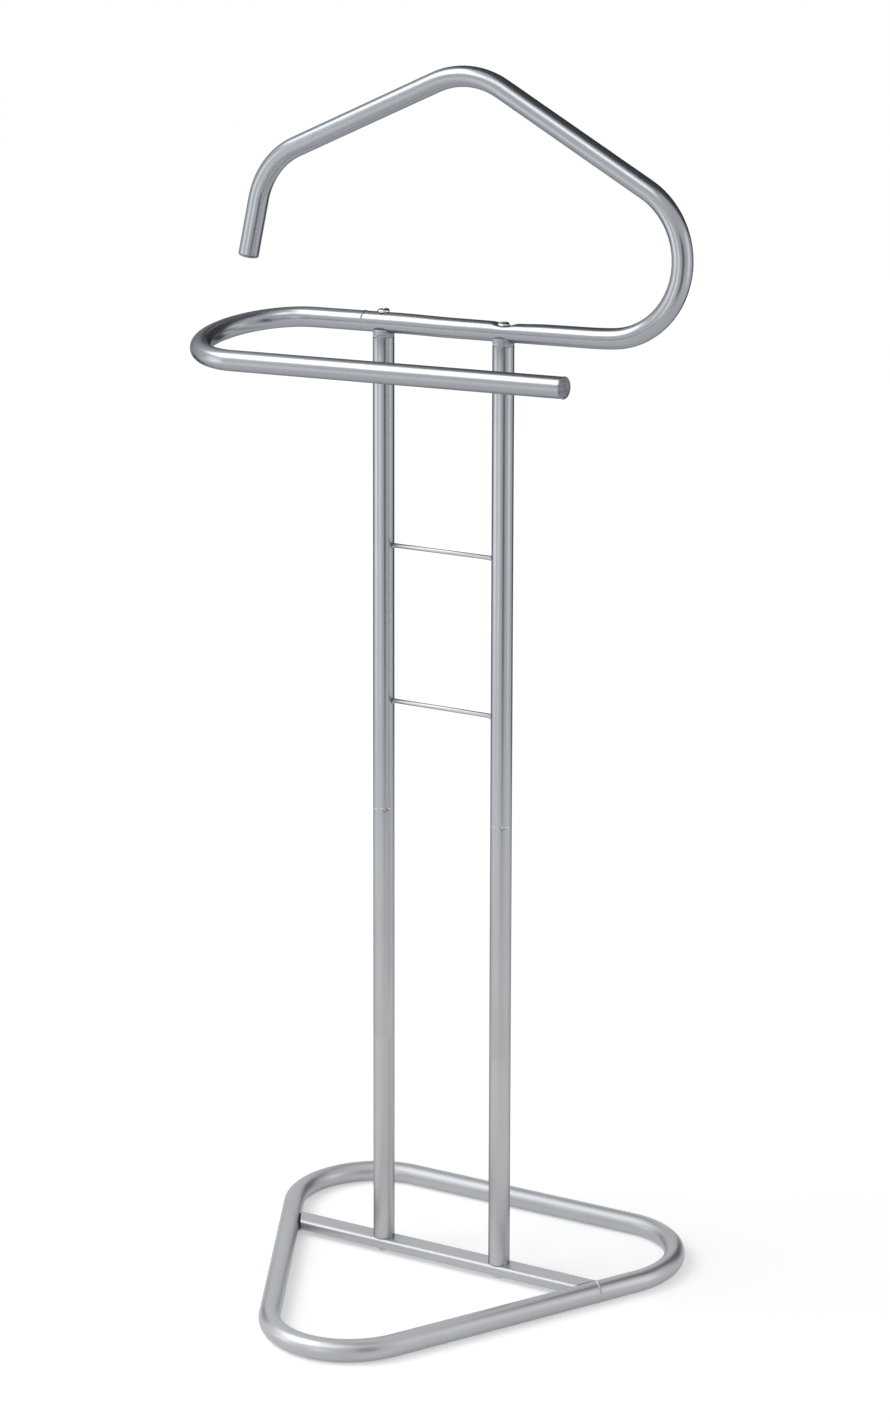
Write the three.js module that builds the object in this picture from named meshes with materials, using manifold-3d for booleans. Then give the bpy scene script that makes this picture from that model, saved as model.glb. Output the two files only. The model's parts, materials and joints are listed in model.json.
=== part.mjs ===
// Valet stand of lacquered steel tube, knocked down into screwed and plugged pieces.
// Millimetres, +Z up, front towards -Y. The two posts stand on the plane y = 0 while the pieces
// are made; at the end the whole stand is set on the middle of its own footprint.
import * as THREE from 'three';
import { mergeVertices } from 'three/addons/utils/BufferGeometryUtils.js';
import Module from 'manifold-3d';

const wasm = await Module();
wasm.setup();

// ---------------------------------------------------------------- driving dimensions

// Base ring: one tube bent into a triangle with round corners, lying on the floor
const ringTubeDiameter = 18.3;
const ringTubeWall = 1.2;
const ringCornerX = 238.8; // where the lines of the back side and a slanted side would meet
const ringBackY = 138.9; // centreline of the straight back side
const ringApexY = -280.4; // where the lines of the two slanted sides would meet
const ringBackBend = 71.1; // centreline bend radii
const ringFrontBend = 71.4;
const ringVentDiameter = 5; // bored under each end of the crossbar

// Crossbar: flat tube welded across the ring, which carries the posts
const crossbarWidth = 20;
const crossbarHeight = 10;
const crossbarWall = 1.2;
const crossbarCornerRadius = 2.5;
const crossbarBoreCorner = 1.3; // corner radius of its hollow

// Posts: each is a lower and an upper tube, end to end over a plug-in sleeve
const postSpacing = 118.6;
const postTubeDiameter = 18.6;
const postTubeWall = 1.2;
const postJointHeight = 406;
const sleeveLength = 80;
const sleeveWall = 1.2;

// Rungs: rods welded between the upper posts
const rungDiameter = 4;
const rungHeights = { upper_rung: 637.4, lower_rung: 500.7 };

// Top: the hanger and the trouser rail meet on one level line over the posts
const topTubeDiameter = 17.8;
const topTubeWall = 1.2;
const topTubeHeight = 830.6; // centreline above the floor
const topJointX = -77; // where the hanger tube ends and the trouser rail begins
const topSleeveOverlap = 30; // of the sleeve into each of the two tubes
const saddleHeight = 3.8; // from the top of a post to the underside of the top tube
const saddlePlugDepth = 7;
const saddleLipRise = 3; // of the saddle's front and back lips above the tube's underside

// Hanger outline, as corners of its centreline measured from the level line
const peakX = 25.8;
const peakRise = 218.7;
const shoulderX = -180.4;
const shoulderRise = 132.8;
const freeEndX = -198.6;
const freeEndRise = 51.2;
const slopeFootX = 410.3; // where the long slope's line would meet the level line
const shoulderBend = 66.2; // centreline bend radii
const peakBend = 73.5;
const returnBend = 66;

// Trouser rail: a U lying in a plane that tips down to the front
const railBendX = -129.2; // where the U's bend starts
const railSpan = 124.7; // between the centrelines of its two legs
const railTilt = 11.7; // degrees
const railEndX = 186;

// Fastenings and end caps
const screwDiameter = 6;
const screwHoleDiameter = 6.8;
const screwHeadDiameter = 10.6;
const screwHeadHeight = 2.9;
const screwRecessWidth = 1.9;
const screwRecessLength = 7.6;
const screwRecessDepth = 1.6;
const screwRimShare = 0.4; // of the head's height, up to the edge of its dome
const screwShoulderRadius = 0.8; // shares of the head's radius and height, where the dome turns flat
const screwShoulderHeight = 0.85;
const screwCrownShare = 0.45; // of the head's radius, flat on top
const screwEngagement = 16; // length of thread inside the insert
const insertLength = 22;
const capRimThickness = 2;
const capRimOverhang = 0.3; // of the cap's rim beyond the tube
const capPlugLength = 14;
const capFaceRecess = 0.7;
const capFaceBorder = 1.8;
const capEdgeShare = 0.4; // of the rim's thickness, taken off its outer edge
const leadChamfer = 1; // on the tips of screws and plugs

// Clearances
const fitGap = 0.3; // between pieces that fit in, pass through or lie along each other

// Facets
const tubeSides = 20;
const boreSides = 12;
const turnedSides = 16;
const cornerSegments = 3; // of each rounded corner of the flat tube
const bendStep = 7.5; // degrees of bend between two stations of a tube
const weldTolerance = 1e-4; // points closer than this are one

// ---------------------------------------------------------------- derived sizes

const ringTubeRadius = ringTubeDiameter / 2;
const postRadius = postTubeDiameter / 2;
const topTubeRadius = topTubeDiameter / 2;
const postBore = postRadius - postTubeWall;
const topTubeBore = topTubeRadius - topTubeWall;
const screwRadius = screwDiameter / 2;
const screwHole = screwHoleDiameter / 2;
const screwHeadRadius = screwHeadDiameter / 2;
const postX = postSpacing / 2;
const crossbarTop = ringTubeRadius + crossbarHeight / 2;
const crossbarUnderside = crossbarTop - crossbarHeight;
const topTubeUnderside = topTubeHeight - topTubeRadius;
const topTubeCrown = topTubeHeight + topTubeRadius;
const postTop = topTubeUnderside - saddleHeight;
const sides = { left: -1, right: 1 };

// ---------------------------------------------------------------- materials

const lacquer = new THREE.MeshStandardMaterial({ color: 0xa9adb3, roughness: 0.32, metalness: 0.85 });
const zincPlate = new THREE.MeshStandardMaterial({ color: 0xc9cacc, roughness: 0.28, metalness: 1 });
const greyPlastic = new THREE.MeshStandardMaterial({ color: 0x82868c, roughness: 0.6, metalness: 0 });

// ---------------------------------------------------------------- shape helpers

// A regular section whose flats lie on the nominal radius, one of them square to each axis
function roundOutline(radius, count, PathType = THREE.Path) {
  const outline = new PathType();
  const corner = radius / Math.cos(Math.PI / count);
  const points = [];
  for (let i = 0; i < count; i += 1) {
    const angle = ((i + 0.5) * 2 * Math.PI) / count;
    points.push(new THREE.Vector2(corner * Math.cos(angle), corner * Math.sin(angle)));
  }
  return outline.setFromPoints(points);
}

function tubeSection(radius, wall) {
  const section = roundOutline(radius, tubeSides, THREE.Shape);
  section.holes.push(roundOutline(radius - wall, boreSides));
  return section;
}

// Rectangle with rounded corners, for the flat tube
function roundedRectangle(width, height, radius, PathType = THREE.Path) {
  const outline = new PathType();
  const x = width / 2 - radius;
  const y = height / 2 - radius;
  outline.absarc(x, y, radius, 0, Math.PI / 2);
  outline.absarc(-x, y, radius, Math.PI / 2, Math.PI);
  outline.absarc(-x, -y, radius, Math.PI, 1.5 * Math.PI);
  outline.absarc(x, -y, radius, 1.5 * Math.PI, 2 * Math.PI);
  return outline;
}

// Centreline of a bent tube: straight runs between corners, each corner rounded to its bend
// radius. Its parameter counts stations: the two ends, and one every few degrees of bend.
class BentCentreline extends THREE.Curve {
  constructor(corners, bends) {
    super();
    this.stations = [];
    const last = corners.length - 1;
    this.addStation(corners[0], corners[1].clone().sub(corners[0]).normalize());
    bends.forEach((radius, i) => this.addBend(corners[i], corners[i + 1], corners[i + 2], radius));
    this.addStation(corners[last], corners[last].clone().sub(corners[last - 1]).normalize());
  }

  addStation(point, tangent) {
    this.stations.push({ point, tangent });
  }

  addBend(before, corner, after, radius) {
    const incoming = corner.clone().sub(before).normalize();
    const outgoing = after.clone().sub(corner).normalize();
    const turn = incoming.angleTo(outgoing);
    const start = corner.clone().addScaledVector(incoming, -radius * Math.tan(turn / 2));
    const inward = outgoing.clone().addScaledVector(incoming, -Math.cos(turn)).normalize();
    const steps = Math.ceil(turn / THREE.MathUtils.degToRad(bendStep));
    for (let i = 0; i <= steps; i += 1) {
      const angle = (turn * i) / steps;
      const point = start.clone().addScaledVector(incoming, radius * Math.sin(angle));
      point.addScaledVector(inward, radius * (1 - Math.cos(angle)));
      const tangent = incoming.clone().multiplyScalar(Math.cos(angle));
      this.addStation(point, tangent.addScaledVector(inward, Math.sin(angle)));
    }
  }

  get steps() {
    return this.stations.length - 1;
  }

  station(t) {
    return this.stations[Math.round(t * this.steps)];
  }

  getPoint(t) {
    return this.station(t).point.clone();
  }

  getPointAt(t) {
    return this.getPoint(t);
  }

  getTangentAt(t) {
    return this.station(t).tangent.clone();
  }
}

function sweep(section, centreline) {
  return new THREE.ExtrudeGeometry(section, { extrudePath: centreline, steps: centreline.steps });
}

function straightTube(radius, wall, length) {
  return new THREE.ExtrudeGeometry(tubeSection(radius, wall), { depth: length, bevelEnabled: false });
}

// Turned piece from [radius, height] points, the first and last of them on the axis or the same
function turned(profile, count = turnedSides) {
  const points = profile.map(([radius, height]) => new THREE.Vector2(radius, height));
  return new THREE.LatheGeometry(points, count).rotateX(Math.PI / 2);
}

// Upright rod between two heights, slightly out-of-round facets lying outside its radius
function rod(radius, low, high, count = turnedSides) {
  const corner = radius / Math.cos(Math.PI / count);
  return turned([[0, low], [corner, low], [corner, high], [0, high]], count);
}

function ring(outer, inner, low, high, count = turnedSides) {
  return turned([[inner, low], [outer, low], [outer, high], [inner, high], [inner, low]], count);
}

function box(width, depth, height) {
  return new THREE.BoxGeometry(width, depth, height);
}

// ---------------------------------------------------------------- joining and cutting

function solid(geometry) {
  const bare = geometry.clone();
  bare.deleteAttribute('normal');
  bare.deleteAttribute('uv');
  const merged = mergeVertices(bare, weldTolerance);
  const vertProperties = new Float32Array(merged.attributes.position.array);
  const triVerts = new Uint32Array(merged.index.array);
  return new wasm.Manifold(new wasm.Mesh({ numProp: 3, vertProperties, triVerts }));
}

function cut(body, ...tools) {
  return tools.reduce((left, tool) => left.subtract(solid(tool)), body);
}

function geometryOf(body) {
  const mesh = body.getMesh();
  const geometry = new THREE.BufferGeometry();
  geometry.setAttribute('position', new THREE.BufferAttribute(mesh.vertProperties, 3));
  geometry.setIndex(new THREE.BufferAttribute(mesh.triVerts, 1));
  geometry.computeVertexNormals();
  return geometry;
}

const stand = new THREE.Group();

function add(name, geometry, material, place = new THREE.Vector3()) {
  const mesh = new THREE.Mesh(geometry, material);
  mesh.name = name;
  mesh.position.copy(place);
  stand.add(mesh);
  return mesh;
}

// ---------------------------------------------------------------- base

const ringSideSlope = ringCornerX / (ringBackY - ringApexY); // sideways run per length forward
const ringSideAngle = Math.atan(ringSideSlope);
const ringSideX = -ringApexY * ringSideSlope; // of a side's centreline on the posts' plane

// Half of the ring's centreline, from the left side's middle round the given corner side
function ringHalf(direction) {
  const corner = (x, y) => new THREE.Vector3(x, y, ringTubeRadius);
  const seam = corner(ringSideX, 0);
  const far = corner(-ringSideX, 0);
  if (direction === 'back') {
    const corners = [seam, corner(ringCornerX, ringBackY), corner(-ringCornerX, ringBackY), far];
    return new BentCentreline(corners, [ringBackBend, ringBackBend]);
  }
  return new BentCentreline([far, corner(0, ringApexY), seam], [ringFrontBend]);
}

function closedRing(radius, count) {
  const section = roundOutline(radius, count, THREE.Shape);
  return solid(sweep(section, ringHalf('back'))).add(solid(sweep(section, ringHalf('front'))));
}

function makeBaseRing() {
  const ventLength = 2 * ringTubeWall + fitGap;
  const body = closedRing(ringTubeRadius, tubeSides)
    .subtract(closedRing(ringTubeRadius - ringTubeWall, boreSides));
  const vents = Object.values(sides).map((side) => {
    const vent = rod(ringVentDiameter / 2, -ventLength, ventLength, boreSides);
    const reach = (ringTubeRadius - ringTubeWall / 2) / Math.cos(ringSideAngle);
    vent.rotateX(Math.PI / 2).rotateZ(side * (Math.PI / 2 - ringSideAngle));
    return vent.translate(side * (ringSideX - reach), 0, ringTubeRadius);
  });
  add('base_ring', geometryOf(cut(body, ...vents)), lacquer);
}

// The crossbar's ends are mitred along the slanted sides of the ring
function makeCrossbar() {
  const reach = ringSideX - (ringTubeRadius + fitGap) / Math.cos(ringSideAngle);
  const length = 2 * (reach + crossbarWidth * Math.tan(ringSideAngle));
  const section = roundedRectangle(crossbarHeight, crossbarWidth, crossbarCornerRadius, THREE.Shape);
  section.holes.push(
    roundedRectangle(crossbarHeight - 2 * crossbarWall, crossbarWidth - 2 * crossbarWall, crossbarBoreCorner),
  );
  const settings = { depth: length, bevelEnabled: false, curveSegments: cornerSegments };
  const bar = new THREE.ExtrudeGeometry(section, settings);
  bar.translate(0, 0, -length / 2).rotateY(Math.PI / 2).translate(0, 0, ringTubeRadius);
  const tools = Object.values(sides).flatMap((side) => {
    const mitre = box(length, 4 * length, 2 * crossbarHeight);
    mitre.translate(length / 2, 0, 0).rotateZ(-ringSideAngle).translate(reach, 0, ringTubeRadius);
    if (side < 0) {
      mitre.rotateY(Math.PI).translate(0, 0, 2 * ringTubeRadius);
    }
    const hole = rod(screwHole, 0, crossbarTop + fitGap, boreSides);
    return [mitre, hole.translate(side * postX, 0, 0)];
  });
  add('base_crossbar', geometryOf(cut(solid(bar), ...tools)), lacquer);
}

// ---------------------------------------------------------------- posts

function makePosts() {
  const lowerLength = postJointHeight - crossbarTop;
  const upperLength = postTop - postJointHeight;
  const sleeveRadius = postBore - fitGap;
  for (const [name, side] of Object.entries(sides)) {
    const x = side * postX;
    const lower = straightTube(postRadius, postTubeWall, lowerLength);
    const upper = straightTube(postRadius, postTubeWall, upperLength);
    const sleeve = ring(sleeveRadius, sleeveRadius - sleeveWall, -sleeveLength / 2, sleeveLength / 2);
    add(`lower_post_${name}`, lower, lacquer, new THREE.Vector3(x, 0, crossbarTop));
    add(`upper_post_${name}`, upper, lacquer, new THREE.Vector3(x, 0, postJointHeight));
    add(`post_sleeve_${name}`, sleeve, zincPlate, new THREE.Vector3(x, 0, postJointHeight));
  }
}

function makeRungs() {
  const length = 2 * (postX - postRadius - fitGap);
  for (const [name, height] of Object.entries(rungHeights)) {
    const rung = rod(rungDiameter / 2, -length / 2, length / 2, boreSides).rotateY(Math.PI / 2);
    add(name, rung, lacquer, new THREE.Vector3(0, 0, height));
  }
}

// Threaded plugs fixed in the ends of the posts, which the screws pull on
function makeInserts() {
  const outer = postBore - fitGap;
  const bore = screwRadius + fitGap;
  for (const [name, side] of Object.entries(sides)) {
    const x = side * postX;
    const insert = ring(outer, bore, 0, insertLength);
    add(`base_insert_${name}`, insert, zincPlate, new THREE.Vector3(x, 0, crossbarTop));
    const top = postTop - saddlePlugDepth - insertLength;
    add(`top_insert_${name}`, insert.clone(), zincPlate, new THREE.Vector3(x, 0, top));
  }
}

// ---------------------------------------------------------------- saddles

// Collar of the post's own diameter, hollowed to the top tube so that a lip stands up in front
// of the tube and one behind it, with a plug into the post
function makeSaddles() {
  const plug = postBore - fitGap;
  const lipTop = saddleHeight + saddleLipRise;
  const collar = turned([
    [screwHole, -saddlePlugDepth], [plug, -saddlePlugDepth], [plug, 0], [postRadius, 0],
    [postRadius, lipTop], [screwHole, lipTop], [screwHole, -saddlePlugDepth],
  ], tubeSides);
  const tube = rod(topTubeRadius + fitGap, -postSpacing / 2, postSpacing / 2, 2 * tubeSides);
  tube.rotateY(Math.PI / 2).translate(0, 0, saddleHeight + topTubeRadius);
  const saddle = geometryOf(cut(solid(collar), tube));
  for (const [name, side] of Object.entries(sides)) {
    add(`saddle_${name}`, saddle.clone(), greyPlastic, new THREE.Vector3(side * postX, 0, postTop));
  }
}

// ---------------------------------------------------------------- hanger and trouser rail

// Upright holes for the two long screws, down through the top tube
function screwBores(radius) {
  return Object.values(sides).map((side) => {
    const bore = rod(radius, topTubeHeight - topTubeDiameter, topTubeHeight + topTubeDiameter, boreSides);
    return bore.translate(side * postX, 0, 0);
  });
}

function hangerPoint(x, rise) {
  return new THREE.Vector3(x, 0, topTubeHeight + rise);
}

function makeHanger() {
  const corners = [
    hangerPoint(freeEndX, freeEndRise),
    hangerPoint(shoulderX, shoulderRise),
    hangerPoint(peakX, peakRise),
    hangerPoint(slopeFootX, 0),
    hangerPoint(topJointX, 0),
  ];
  const centreline = new BentCentreline(corners, [shoulderBend, peakBend, returnBend]);
  const tube = sweep(tubeSection(topTubeRadius, topTubeWall), centreline);
  add('hanger_tube', geometryOf(cut(solid(tube), ...screwBores(screwHole))), lacquer);
}

// The rail's front leg, as offsets from the back leg
const railForward = railSpan * Math.cos(THREE.MathUtils.degToRad(railTilt));
const railDrop = railSpan * Math.sin(THREE.MathUtils.degToRad(railTilt));

function makeTrouserRail() {
  const bend = railSpan / 2;
  const back = (x) => new THREE.Vector3(x, 0, topTubeHeight);
  const front = (x) => new THREE.Vector3(x, -railForward, topTubeHeight - railDrop);
  const corners = [back(topJointX), back(railBendX - bend), front(railBendX - bend), front(railEndX)];
  const centreline = new BentCentreline(corners, [bend, bend]);
  add('trouser_rail', sweep(tubeSection(topTubeRadius, topTubeWall), centreline), lacquer);
}

// Sleeve inside the joint of hanger and rail; the left screw passes through it
function makeTopSleeve() {
  const outer = topTubeBore - fitGap;
  const sleeve = ring(outer, outer - sleeveWall, -topSleeveOverlap, topSleeveOverlap);
  sleeve.rotateY(Math.PI / 2).translate(topJointX, 0, topTubeHeight);
  add('top_sleeve', geometryOf(cut(solid(sleeve), ...screwBores(screwHole))), zincPlate);
}

// ---------------------------------------------------------------- screws and end caps

// Pan-head screw hanging from z = 0, the underside of its head, with a cross recess
function screw(shankLength) {
  const shoulder = [screwShoulderRadius * screwHeadRadius, screwShoulderHeight * screwHeadHeight];
  const body = turned([
    [0, -shankLength], [screwRadius - leadChamfer, -shankLength], [screwRadius, leadChamfer - shankLength],
    [screwRadius, 0], [screwHeadRadius, 0], [screwHeadRadius, screwRimShare * screwHeadHeight],
    shoulder, [screwCrownShare * screwHeadRadius, screwHeadHeight], [0, screwHeadHeight],
  ]);
  const recess = (width, depth) => box(width, depth, 2 * screwRecessDepth);
  const slots = [recess(screwRecessWidth, screwRecessLength), recess(screwRecessLength, screwRecessWidth)];
  slots.forEach((slot) => slot.translate(0, 0, screwHeadHeight));
  return geometryOf(cut(solid(body), ...slots));
}

function makeScrews() {
  const topLength = topTubeCrown - postTop + saddlePlugDepth + screwEngagement;
  const baseLength = crossbarHeight + screwEngagement;
  const topScrew = screw(topLength);
  const baseScrew = screw(baseLength).rotateX(Math.PI);
  for (const [name, side] of Object.entries(sides)) {
    const x = side * postX;
    add(`top_screw_${name}`, topScrew.clone(), zincPlate, new THREE.Vector3(x, 0, topTubeCrown));
    add(`base_screw_${name}`, baseScrew.clone(), zincPlate, new THREE.Vector3(x, 0, crossbarUnderside));
  }
}

// Plug with a rim over the end of the tube and a sunk face; z = 0 is the end of the tube
function endCap() {
  const rim = topTubeRadius + capRimOverhang;
  const plug = topTubeBore - fitGap;
  const face = topTubeRadius - capFaceBorder;
  const edge = capEdgeShare * capRimThickness;
  return turned([
    [0, -capPlugLength], [plug - leadChamfer, -capPlugLength], [plug, leadChamfer - capPlugLength],
    [plug, fitGap], [rim, fitGap], [rim, capRimThickness - edge], [rim - edge, capRimThickness],
    [face, capRimThickness], [face, capRimThickness - capFaceRecess],
    [0, capRimThickness - capFaceRecess],
  ], tubeSides);
}

function makeEndCaps() {
  const upright = new THREE.Vector3(0, 0, 1);
  const freeEnd = hangerPoint(freeEndX, freeEndRise);
  const outward = freeEnd.clone().sub(hangerPoint(shoulderX, shoulderRise)).normalize();
  const hangerCap = add('hanger_end_cap', endCap(), greyPlastic, freeEnd);
  hangerCap.quaternion.setFromUnitVectors(upright, outward);
  const railEnd = new THREE.Vector3(railEndX, -railForward, topTubeHeight - railDrop);
  const railCap = add('rail_end_cap', endCap(), greyPlastic, railEnd);
  railCap.quaternion.setFromUnitVectors(upright, new THREE.Vector3(1, 0, 0));
}

// ---------------------------------------------------------------- the whole stand

makeBaseRing();
makeCrossbar();
makePosts();
makeRungs();
makeInserts();
makeSaddles();
makeHanger();
makeTrouserRail();
makeTopSleeve();
makeScrews();
makeEndCaps();

// The origin is under the middle of the stand, on the floor
const extent = new THREE.Box3().setFromObject(stand, true);
const middle = extent.getCenter(new THREE.Vector3());
stand.position.set(-middle.x, -middle.y, -extent.min.z);
stand.updateMatrixWorld(true);

export default stand;
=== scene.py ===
# Valet stand: lacquered steel tubes, plastic saddles and caps, zinc screws, on a white studio floor.
# Metres. Places on the stand, and the camera's, are from the middle between the two posts, on the floor,
# and those in the studio are from the frame's own origin. The front faces -Y.
import json
import math

import bmesh
import bpy
from mathutils import Matrix, Vector, noise


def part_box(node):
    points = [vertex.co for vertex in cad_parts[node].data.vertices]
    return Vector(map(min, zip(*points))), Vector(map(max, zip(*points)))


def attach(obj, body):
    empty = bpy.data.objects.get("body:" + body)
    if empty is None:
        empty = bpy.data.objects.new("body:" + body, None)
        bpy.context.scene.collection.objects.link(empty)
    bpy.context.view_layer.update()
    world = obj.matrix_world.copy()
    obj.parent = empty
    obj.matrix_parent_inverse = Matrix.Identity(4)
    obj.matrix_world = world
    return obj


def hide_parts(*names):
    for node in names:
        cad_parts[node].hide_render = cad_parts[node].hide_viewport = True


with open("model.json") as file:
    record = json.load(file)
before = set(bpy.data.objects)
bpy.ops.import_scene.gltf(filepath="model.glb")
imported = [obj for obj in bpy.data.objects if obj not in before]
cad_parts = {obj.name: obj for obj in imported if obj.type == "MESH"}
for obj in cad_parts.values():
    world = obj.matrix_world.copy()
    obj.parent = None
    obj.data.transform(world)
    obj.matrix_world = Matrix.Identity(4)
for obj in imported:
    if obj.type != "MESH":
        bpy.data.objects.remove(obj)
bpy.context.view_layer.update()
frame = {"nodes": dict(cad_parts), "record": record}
scene = bpy.context.scene
scene.view_settings.view_transform = "Standard"
noise.seed_set(2)  # the welds and burrs keep their lumps from run to run

leftPost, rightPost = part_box("lower_post_left"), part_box("lower_post_right")
postsMiddle = Vector(((leftPost[0].x + rightPost[1].x) / 2, (leftPost[0].y + leftPost[1].y) / 2, 0))
postSides = {"left": -0.0593, "right": 0.0593}
print("solids loaded")


def at(x, y, z):
    return postsMiddle + Vector((x, y, z))


# finishes

class Wire:
    # One socket in a finish. Sums, differences and products of wires add Math nodes.
    def __init__(self, finish, socket):
        self.finish = finish
        self.socket = socket

    def maths(self, operation, first, second):
        return self.finish.node("Math", {"operation": operation}, {0: first, 1: second})

    def __add__(self, other):
        return self.maths("ADD", self, other)

    __radd__ = __add__

    def __sub__(self, other):
        return self.maths("SUBTRACT", self, other)

    def __rsub__(self, other):
        return self.maths("SUBTRACT", other, self)

    def __mul__(self, other):
        return self.maths("MULTIPLY", self, other)

    __rmul__ = __mul__


class Finish:
    # The node tree of a material or of the world
    def __init__(self, owner):
        owner.use_nodes = True
        self.owner = owner
        self.tree = owner.node_tree
        self.tree.nodes.clear()

    def node(self, kind, settings=None, sockets=None, output=0):
        made = self.tree.nodes.new("ShaderNode" + kind)
        for name, value in (settings or {}).items():
            setattr(made, name, value)
        for name, value in (sockets or {}).items():
            if isinstance(value, Wire):
                self.tree.links.new(value.socket, made.inputs[name])
            else:
                made.inputs[name].default_value = value
        return Wire(self, made.outputs[output]) if made.outputs else made

    def place(self):
        return self.node("TexCoord", output="Object")

    def speckle(self, place, scale, detail, roughness=0.5):
        sockets = {"Vector": place, "Scale": scale, "Detail": detail, "Roughness": roughness}
        return self.node("TexNoise", {}, sockets)

    def streaks(self, place, stretch, detail, turn=(0.0, 0.0, 0.0)):
        drawn = self.node("Mapping", {}, {"Vector": place, "Scale": stretch, "Rotation": turn})
        return self.speckle(drawn, 1.0, detail)

    def spread(self, value, low, high, toLow=0.0, toHigh=1.0):
        sockets = {"Value": value, "From Min": low, "From Max": high, "To Min": toLow, "To Max": toHigh}
        return self.node("MapRange", {"interpolation_type": "SMOOTHSTEP"}, sockets)

    def mixed(self, share, first, second):
        # The colours of a Mix node are its sockets 6 and 7, and their mixture is its output 2
        return self.node("Mix", {"data_type": "RGBA"}, {"Factor": share, 6: first, 7: second}, output=2)

    def bump(self, height, strength, distance, below=None):
        sockets = {"Height": height, "Strength": strength, "Distance": distance}
        if below:
            sockets["Normal"] = below
        return self.node("Bump", {}, sockets)

    def close(self, sockets):
        shader = self.node("BsdfPrincipled", {}, sockets)
        self.node("OutputMaterial", {}, {"Surface": shader})
        return self.owner


def colour(red, green, blue):
    return (red, green, blue, 1.0)


# The lacquer of the hanger and the rail. The other parts get copies of it with lighter or darker bodies and
# edge tints: painted light and shade for how the light falls on each part
lacquerSpec = {
    "body": colour(0.325, 0.342, 0.368),
    "flake": colour(0.41, 0.425, 0.45),
    "scuff": colour(0.24, 0.25, 0.27),
    "edge": colour(0.25, 0.26, 0.28),
    "metallic": 0.9,
    "roughness": 0.24,
    "sparkle": 0.32,
    "flakeScale": 1900.0,
    "flakeShown": (0.52, 0.70),
    "peelScale": 300.0,
    "peelStrength": 0.3,
    "peelDepth": 0.00003,
    "cloudScale": 11.0,
    "cloudShown": (0.35, 0.70),
    "cloudShare": 0.14,
    "cloudDulling": 0.05,
    "patchScale": 46.0,
    "patchRoughness": 0.62,
    "patchShown": (0.66, 0.76),
    "scratchScale": (900.0, 900.0, 60.0),
    "scratchTurn": (0.5, 0.3, 0.2),
    "scratchShown": (0.55, 0.66),
    "scuffShare": 0.5,
    "scuffDulling": 0.12,
    "lumpScale": 700.0,
    "lumpStrength": 0.9,
    "coat": 0.08,
    "coatRoughness": 0.06,
}
# Painted light: a lighter copy for the base ring and the crossbar, with a lighter body and a light edge tint.
# The posts, rungs and welds start from it
paintedLightLacquerSpec = {
    **lacquerSpec,
    "body": colour(0.452, 0.464, 0.482),
    "flake": colour(0.515, 0.525, 0.54),
    "edge": colour(0.79, 0.805, 0.83),
    "metallic": 0.78,
    "roughness": 0.33,
}
# Painted light and shade on the posts: lighter near the floor and darker towards the top, where the colour
# turns into that of the top tubes
shadedPostLacquerSpec = {
    **paintedLightLacquerSpec,
    "body": colour(0.455, 0.461, 0.472),
    "edge": colour(0.27, 0.28, 0.295),
    "metallic": 0.9,
    "top": lacquerSpec,
    "paintedShadeHeights": (0.1, 0.62),
}
# Painted light: the rungs' copy keeps the lighter body of the base copy, with a darker edge tint
paintedLightRungLacquerSpec = {**paintedLightLacquerSpec, "edge": colour(0.35, 0.36, 0.38), "metallic": 0.86}
weldSpec = {**paintedLightLacquerSpec, "lumps": 0.00012}
# Painted shadow: a near black copy for the bead in the gap between the crossbar and the ring, which stands in
# for shade
gapShadowSpec = {
    **weldSpec,
    "body": colour(0.03, 0.03, 0.032),
    "flake": colour(0.05, 0.05, 0.052),
    "scuff": colour(0.02, 0.02, 0.02),
    "edge": colour(0.05, 0.05, 0.05),
    "roughness": 0.6,
}


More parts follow.
